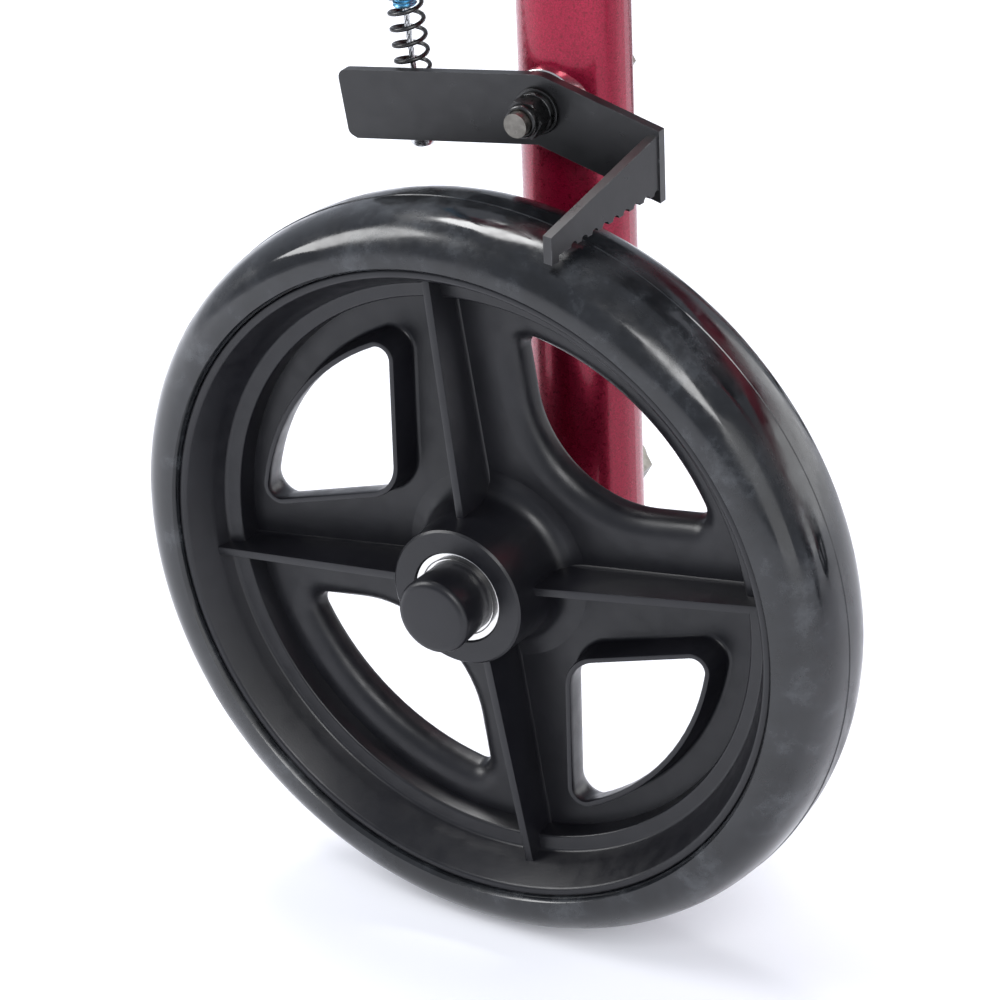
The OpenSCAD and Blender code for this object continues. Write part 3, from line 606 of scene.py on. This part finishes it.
def spring_shell():
    """Compression spring with closed, flattened end turns."""
    steps = 26
    total = int(SPRING_TURNS * steps)
    path, z = [], SPRING_WIRE
    closed = 2.2 * SPRING_WIRE
    open_pitch = (SPRING_LEN - 2 * SPRING_WIRE - 3 * closed) / (SPRING_TURNS - 3)
    for i in range(total + 1):
        a = 2 * math.pi * i / steps
        path.append(Vector((SPRING_R * math.cos(a), SPRING_R * math.sin(a), z)))
        turn = min(i, total - i) / steps
        share = min(1.0, max(0.0, (turn - 1.0) / 1.0))
        z += (closed + (open_pitch - closed) * share) / steps
    stretch = (SPRING_LEN - 2 * SPRING_WIRE) / (path[-1].z - SPRING_WIRE)
    for p in path:
        p.z = SPRING_WIRE + (p.z - SPRING_WIRE) * stretch
    return tube(path, SPRING_WIRE, 10)


def threads(radius, z0, z1, pitch, depth):
    """Open list of (r, z) up a ridged rod."""
    count = int((z1 - z0) / pitch)
    out = []
    for i in range(count):
        z = z0 + (z1 - z0) * i / count
        out += [(radius - depth, z), (radius - depth * 0.1, z + pitch * 0.4),
                (radius, z + pitch * 0.55)]
    return out + [(radius - depth, z1)]


def hex_prism(radius, z0, z1, bore):
    """Nut with chamfered corners and a round bore."""
    steps, slope = 48, 0.42
    flat = radius * math.cos(math.pi / 6)
    rings = []
    for i in range(steps):
        a = 2 * math.pi * i / steps
        h = flat / math.cos((a % (math.pi / 3)) - math.pi / 6)
        drop = max(0.0, h - flat - 0.1) * slope
        face = min(h, radius * 0.93)
        rings.append([(r * math.cos(a), r * math.sin(a), z) for r, z in (
            (bore, z0), (face, z0), (h, z0 + drop + 0.05),
            (h, z1 - drop - 0.05), (face, z1), (bore, z1))])
    return flipped(loft(rings, looped=True))


def pivot_nut_shell():
    """Nylon-insert nut on its washer, in the pivot's frame with +Z outwards from the arm."""
    nut = hex_prism(5.0, 2.5, 6.9, 2.9)
    collar = lathe(rounded([(2.95, 6.6), (4.1, 6.6), (4.0, 8.0), (3.4, 8.35), (2.95, 8.1)], 0.4), 48)
    washer = lathe(rounded([(3.1, 0.1), (5.7, 0.1), (5.7, 1.2), (3.1, 1.2)], 0.25), 48)
    flange = lathe(rounded([(3.1, 1.2), (5.1, 1.2), (4.8, 2.5), (3.1, 2.5)], 0.25), 48)
    return joined(nut, collar, washer, flange)


def saddle_shell():
    """Round spacer between the arm and the leg, without the hollow part.scad gives it."""
    return lathe(rounded([(3.1, -8.4), (9.0, -8.4), (9.0, -2.7), (3.1, -2.7)], 0.5), 64)


def bolt_tip_shell():
    rod = threads(3.0, 0.2, 9.4, 0.8, 0.28)
    return lathe([(0.02, 0.2)] + rod + [(2.3, 10.2), (0.02, 10.3)], 40)


def adjuster_shell():
    """Threaded barrel with a countersunk mouth, its lock nut and its knurled grip, up +Z."""
    low, high = ADJUSTER_MOUTH, ADJUSTER_TOP
    barrel = [(1.6, low + 8), (2.4, low), (2.6, low)] + threads(2.9, low, 60, 0.8, 0.3)
    barrel += [(2.9, 60.5), (2.9, high), (1.6, high)]
    knurl = threads(3.6, 71.6, 73.9, 0.7, 0.2)
    grip = lathe([(2.0, 71.5), (3.6, 71.5)] + knurl + [(2.0, high)], 40)
    return joined(lathe(barrel, 40), hex_prism(5.0, 63, 70, 2.6), grip)


def stranded_cable_shell():
    """Seven-strand inner cable into the adjuster's mouth, its turned nipple under the flange."""
    low, high, pitch, steps = -4.5, ADJUSTER_MOUTH + 0.6, 9.0, 72
    strands = []
    for k in range(6):
        path = []
        for i in range(steps + 1):
            z = low + (high - low) * i / steps
            a = 2 * math.pi * (z / pitch + k / 6)
            path.append(Vector((0.47 * math.cos(a), 0.47 * math.sin(a), z)))
        strands.append(tube(path, 0.26, 6))
    core = tube([Vector((0, 0, low)), Vector((0, 0, high))], 0.24, 6)
    nipple = lathe([(0.02, -7.0), (1.7, -7.0), (2.6, -6.6), (3.0, -5.9), (3.0, -4.0), (2.7, -3.7),
                    (0.02, -3.7)], 40)
    return joined(core, nipple, *strands)


def round_arm_end(label):
    """Copy of the brake arm with its two rear corners rounded off."""
    pivot = Vector((REAR_X, 0, AXLE_Z)) + PIVOT
    tilt = Matrix.Rotation(-ARM_TILT, 4, "Y")
    corners = [pivot + tilt @ Vector((-ARM_BACK, 0, h * ARM_HALF)) for h in (-1, 1)]
    mesh = frame["nodes"][f"brake_arm_{label}"].data.copy()
    work = bmesh.new()
    work.from_mesh(mesh)
    bmesh.ops.remove_doubles(work, verts=work.verts, dist=0.002 * MM)
    bmesh.ops.dissolve_limit(work, angle_limit=math.radians(1), verts=work.verts, edges=work.edges)
    ends = []
    for edge in work.edges:
        a, b = (v.co / MM for v in edge.verts)
        across = math.hypot(a.x - b.x, a.z - b.z) < 0.01
        if across and min(math.hypot(a.x - c.x, a.z - c.z) for c in corners) < 0.2:
            ends.append(edge)
    bmesh.ops.bevel(work, geom=ends, offset=ARM_CORNER * MM, segments=6, profile=0.5,
                    affect="EDGES", clamp_overlap=True)
    work.to_mesh(mesh)
    work.free()
    smooth(mesh, 32)
    mesh.materials.clear()
    mesh.materials.append(LOOKS["black_steel"])
    obj = placed(f"rounded_arm_{label}", mesh)
    soften(obj, 0.35)
    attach(obj, f"brake_{label}")
    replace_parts(obj, f"brake_arm_{label}")


def make_brakes():
    for label in ("right", "left"):
        round_arm_end(label)
    outwards = Matrix.Rotation(math.pi / 2, 4, "X")
    pivot = BRAKE_AT @ Matrix.Translation(PIVOT + Vector((0, ARM_FACE, 0))) @ outwards
    nuts = piece("lock_nuts", both_sides(moved(pivot_nut_shell(), pivot)), "black_zinc", "frame",
                 28)
    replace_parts(nuts, "pivot_nuts")
    piece("bolt_threads", both_sides(moved(bolt_tip_shell(), pivot)), "black_zinc", "frame",
          50)
    saddles = piece("round_saddles", both_sides(moved(saddle_shell(), pivot)), "bright_steel",
                    "frame")
    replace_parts(saddles, "pivot_saddles")
    adjusters = piece("barrel_adjusters", both_sides(moved(adjuster_shell(), CABLE_LINE)),
                      "blue_anodised", "frame")
    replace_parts(adjusters, "cable_adjusters")

    for label, flip in (("right", Matrix.Identity(4)), ("left", MIRROR_Y)):
        line = flip @ CABLE_LINE
        spring = piece(f"coil_spring_{label}", moved(spring_shell(), line), "black_zinc", "frame",
                       60)
        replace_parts(spring, f"brake_spring_{label}")
        cable = piece(f"stranded_cable_{label}", moved(stranded_cable_shell(), line),
                      "satin_steel", f"brake_{label}")
        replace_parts(cable, f"inner_cable_{label}")
        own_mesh(spring)


# ---- Cable housings held between their two ends ----
def bezier_route(points, per=8):
    """Smooth curve through the given points, as part.scad sweeps it."""
    n = len(points)
    along = [(points[min(i + 1, n - 1)] - points[max(i - 1, 0)]).normalized() for i in range(n)]
    out = []
    for i in range(n - 1):
        a, b = points[i], points[i + 1]
        h = (b - a).length / 3
        c1, c2 = a + along[i] * h, b - along[i + 1] * h
        for k in range(per):
            t = k / per
            out.append(a * (1 - t) ** 3 + 3 * c1 * t * (1 - t) ** 2
                       + 3 * c2 * t * t * (1 - t) + b * t ** 3)
    return out + [points[-1]]


def make_cables():
    """The routes: from an adjuster to the beam, and from a lever bracket to the stem."""
    line = Vector((math.sin(SPRING_LEAN), 0, math.cos(SPRING_LEAN)))
    foot = Vector((REAR_X, -REAR_TRACK / 2, AXLE_Z)) + SPRING_FOOT
    start = foot + (ADJUSTER_TOP + 0.2) * line
    entry = Vector((-300, -19, 302))
    rear = [start, start + 20 * line, Vector((-330, -196, 310)), Vector((-328, -150, 318)),
            Vector((-318, -100, 312)), Vector((-306, -60, 305)), entry - Vector((0, 20, 0)), entry]
    stem = Vector((FRONT_X + 9, -5, BAR_Z - 46))
    lever = [Vector((FRONT_X + 26, -67.9, BAR_Z)), Vector((FRONT_X + 28, -56, BAR_Z - 2)),
             Vector((FRONT_X + 38, -34, BAR_Z - 16)), Vector((FRONT_X + 36, -14, BAR_Z - 36)),
             stem + Vector((13, 0, 0)), stem]
    for name, points, node, body in (("rear_housings", rear, "rear_cables", "frame"),
                                     ("lever_housings", lever, "lever_cables", "bars")):
        route = bezier_route(points)
        end = (route[1] - route[0]).normalized()
        ferrule = tube([route[0] + end * d for d in (0, 9)], HOUSING_R + 0.5, 24)
        shell = joined(tube(route, HOUSING_R, 16), ferrule)
        made = piece(name, both_sides(shell), "cable_sleeve", body, sharp=50)
        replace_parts(made, node)


# ---- Knee cushions, in metres ----
START_SCALE = (0.975, 0.92, 0.84)
VOXEL = 0.0042
HELD_BAND, SWELL_CAP, SWELL_PRESSURE, SWELL_FRAMES = 0.004, 0.008, 4, 20
SEAM_DROP, SEAM_REACH, SEAM_DEPTH, SEAM_SPREAD = 0.0125, 0.012, 0.0022, 0.004
SKIN_POINTS = 240
PIPING_R, PIPING_STEP = 0.0019, 0.004
STITCH_R, STITCH_GAP, STITCH_DROP = 0.00042, 0.0036, 0.0052
STITCH_ALONG = (-0.0011, -0.0004, 0.0004, 0.0011)


def apply_modifiers(obj):
    made = obj.evaluated_get(bpy.context.evaluated_depsgraph_get())
    mesh = bpy.data.meshes.new_from_object(made)
    obj.modifiers.clear()
    obj.data = mesh


def swell(obj, low, high, cap):
    """Fills the pad by cloth simulation, with its bottom held and no point moving more than cap."""
    rest = [v.co.copy() for v in obj.data.vertices]
    group = obj.vertex_groups.new(name="held")
    held = [v.index for v in obj.data.vertices if v.co.z < low.z + HELD_BAND]
    group.add(held, 1.0, "REPLACE")
    cloth = obj.modifiers.new("cloth", "CLOTH")
    cloth.settings.quality = 5
    cloth.settings.use_pressure = True
    cloth.settings.uniform_pressure_force = SWELL_PRESSURE
    cloth.settings.effector_weights.gravity = 0
    cloth.settings.vertex_group_mass = "held"
    scene = bpy.context.scene
    for n in range(1, SWELL_FRAMES + 1):
        scene.frame_set(n)
    made = obj.evaluated_get(bpy.context.evaluated_depsgraph_get())
    swollen = [v.co.copy() for v in made.data.vertices]
    obj.modifiers.remove(cloth)
    scene.frame_set(1)
    for v, a, b in zip(obj.data.vertices, rest, swollen):
        move = b - a
        if move.length > cap:
            move.length = cap
        at = a + move
        v.co = Vector(min(max(at[i], low[i]), high[i]) for i in range(3))


def make_cushion(label):
    """The CAD's cushion shrunk, swollen by cloth pressure, and drawn in along its seam."""
    low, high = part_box(f"cushion_{label}")
    centre = (low + high) / 2
    mesh = frame["nodes"][f"cushion_{label}"].data.copy()
    start = Matrix.Translation((centre.x, centre.y, low.z)) @ Matrix.Diagonal((*START_SCALE, 1)) \
        @ Matrix.Translation((-centre.x, -centre.y, -low.z))
    mesh.transform(start)
    obj = placed(f"knee_cushion_{label}", mesh)
    remesh = obj.modifiers.new("voxels", "REMESH")
    remesh.mode = "VOXEL"
    remesh.voxel_size = VOXEL
    apply_modifiers(obj)
    swell(obj, low, high, SWELL_CAP)
    seam_z = high.z - SEAM_DROP
    for v in obj.data.vertices:
        away = Vector((v.co.x - centre.x, v.co.y - centre.y, 0))
        edge = min(high.x - v.co.x, v.co.x - low.x, high.y - v.co.y, v.co.y - low.y)
        if edge < SEAM_REACH:
            dip = math.exp(-((v.co.z - seam_z) / SEAM_SPREAD) ** 2)
            v.co -= away.normalized() * SEAM_DEPTH * dip
    relax = obj.modifiers.new("relax", "SMOOTH")
    relax.iterations = 3
    relax.factor = 0.4
    finer = obj.modifiers.new("finer", "SUBSURF")
    finer.levels = finer.render_levels = 1
    obj.data.materials.clear()
    obj.data.materials.append(LOOKS["vinyl"])
    for poly in obj.data.polygons:
        poly.use_smooth = True
    apply_modifiers(obj)
    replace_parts(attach(obj, "knee_rest"), f"cushion_{label}")
    sew_cushion(obj, label, low, high, seam_z)


def skin_path(surface, low, high, z):
    """Closed path on the cushion's side at height z."""
    half = Vector(((high.x - low.x) / 2, (high.y - low.y) / 2))
    centre = (low + high) / 2
    path, count, square = [], SKIN_POINTS, 0.35
    for i in range(count):
        a = 2 * math.pi * i / count
        c, s = math.cos(a), math.sin(a)
        away = Vector((half.x * math.copysign(abs(c) ** square, c),
                       half.y * math.copysign(abs(s) ** square, s), 0))
        start = Vector((centre.x, centre.y, z)) + away * 1.15
        inside = Vector((centre.x + math.copysign(max(abs(away.x) - 0.05, 0), away.x), centre.y, z))
        hit = surface.ray_cast(start, (inside - start).normalized())
        path.append(hit[0] if hit[0] is not None else start)
    for _ in range(2):
        path = [(path[i - 1] + path[i] * 2 + path[(i + 1) % count]) / 4 for i in range(count)]
    return path


def evenly(path, gap):
    """Points gap apart along a closed path."""
    out, left = [], 0.0
    for i, a in enumerate(path):
        b = path[(i + 1) % len(path)]
        length = (b - a).length
        while left < length:
            out.append((a.lerp(b, left / length), (b - a).normalized()))
            left += gap
        left -= length
    return out


def sew_cushion(obj, label, low, high, seam_z):
    """Piping along the top seam and a row of stitches just under it."""
    surface = BVHTree.FromObject(obj, bpy.context.evaluated_depsgraph_get())
    path = [p for p, _ in evenly(skin_path(surface, low, high, seam_z), PIPING_STEP)]
    piece(f"piping_{label}", tube(path, PIPING_R, 10, looped=True), "vinyl", "knee_rest",
          sharp=60, units=1)
    line = evenly(skin_path(surface, low, high, seam_z - STITCH_DROP), STITCH_GAP)
    shells = [tube([p + t * d for d in STITCH_ALONG], STITCH_R, 6) for p, t in line]
    piece(f"stitches_{label}", joined(*shells), "cable_sleeve", "knee_rest", sharp=60, units=1)


# ---- Handlebar grips ----
def grip_shell():
    """Ribbed grip with a hand stop at its inner end; +Z runs outwards from the inner end."""
    body = [(11.1, 0), (19.0, 0), (19.9, 0.9), (19.9, 4.1), (19.0, 5.0), (17.0, 6.2)]
    ridge = 4.4
    z = 10.0
    while z < GRIP_LEN - 16:
        body += [(15.0, z), (15.9, z + 0.7), (15.9, z + ridge - 1.6), (15.0, z + ridge - 0.9)]
        z += ridge
    body += [(15.2, GRIP_LEN - 11), (16.4, GRIP_LEN - 8), (17.6, GRIP_LEN - 5.5), (18.0, GRIP_LEN - 4),
             (17.4, GRIP_LEN - 1.6), (15.0, GRIP_LEN - 0.3), (9.0, GRIP_LEN), (0.02, GRIP_LEN),
             (0.02, GRIP_LEN - 3.5), (11.1, GRIP_LEN - 3.9)]
    return lathe(body, 64)


def make_grips():
    place = Matrix.Translation((FRONT_X, -GRIP_IN, BAR_Z)) @ Matrix.Rotation(math.pi / 2, 4, "X")
    made = piece("ribbed_grips", both_sides(moved(grip_shell(), place)), "grip_rubber", "bars",
                 sharp=50)
    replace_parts(made, "grips")


# ---- Stage, in metres and watts ----
FLOOR_HALF = 6.0
WORLD_COLOUR, WORLD_STRENGTH = (0.84, 0.89, 1.0, 1), 0.55
# Name, place, the point it looks at, width and height, power
LIGHTS = [
    ("right_softbox", (1.0, -0.9, 0.5), (-0.25, -0.25, 0.1), (0.9, 1.1), 4),
    ("key_softbox", (0.9, -1.6, 1.7), (-0.25, -0.25, 0.1), (0.9, 0.9), 22),
    ("left_softbox", (-1.7, -0.9, 1.1), (-0.25, -0.2, 0.1), (0.7, 1.1), 20),
    ("top_softbox", (-0.9, 0.3, 1.7), (-0.25, -0.2, 0.1), (0.7, 0.7), 20),
    ("low_back_softbox", (0.9, 1.2, 0.35), (-0.25, -0.22, 0.2), (2.0, 1.2), 16),
]


def make_stage():
    h = FLOOR_HALF
    mesh = bpy.data.meshes.new("floor")
    mesh.from_pydata([(-h, -h, 0), (h, -h, 0), (h, h, 0), (-h, h, 0)], [], [(0, 1, 2, 3)])
    mesh.materials.append(floor_white())
    floor = placed("floor", mesh)
    world = bpy.data.worlds.new("studio")
    bpy.context.scene.world = world
    world.use_nodes = True
    back = world.node_tree.nodes["Background"]
    back.inputs["Color"].default_value = WORLD_COLOUR
    back.inputs["Strength"].default_value = WORLD_STRENGTH
    for name, at, towards, size, power in LIGHTS:
        data = bpy.data.lights.new(name, "AREA")
        data.shape = "RECTANGLE"
        data.size, data.size_y = size
        data.energy = power
        light = placed(name, data)
        light.location = at
        light.rotation_euler = (Vector(towards) - Vector(at)).to_track_quat("-Z", "Y").to_euler()


# Width of the softened edges on the CAD's own shapes, in millimetres
SOFT_EDGES = {
    "cable_stops": 0.3,
    "seat_clamp_collar": 0.5, "bar_clamp_collar": 0.5, "seat_clamp_lever": 0.6, "bar_clamp_lever": 0.6,
    "main_beam": 1.2, "beam_end_cap": 0.8, "headset_cups": 0.6, "head_tube": 0.4, "seat_tube": 0.4,
    "steerer": 0.6, "fold_lever": 0.6, "fold_pin": 0.4, "column": 0.4, "lever_brackets": 0.8,
    "brake_lever_right": 1.0, "brake_lever_left": 1.0, "knee_post": 0.4, "pad_board": 0.8,
    "rear_axle_nuts": 0.3, "front_axle_nuts": 0.3, "rear_leg_plugs": 0.5, "front_leg_plugs": 0.5,
}

bpy.context.scene.view_settings.view_transform = "Standard"
make_camera()
make_stage()
dress_cad_nodes()
for node_name, width in SOFT_EDGES.items():
    soften(frame["nodes"][node_name], width)
make_wheels()
make_brakes()
make_cables()
for cushion_label in ("right", "left"):
    make_cushion(cushion_label)
make_grips()
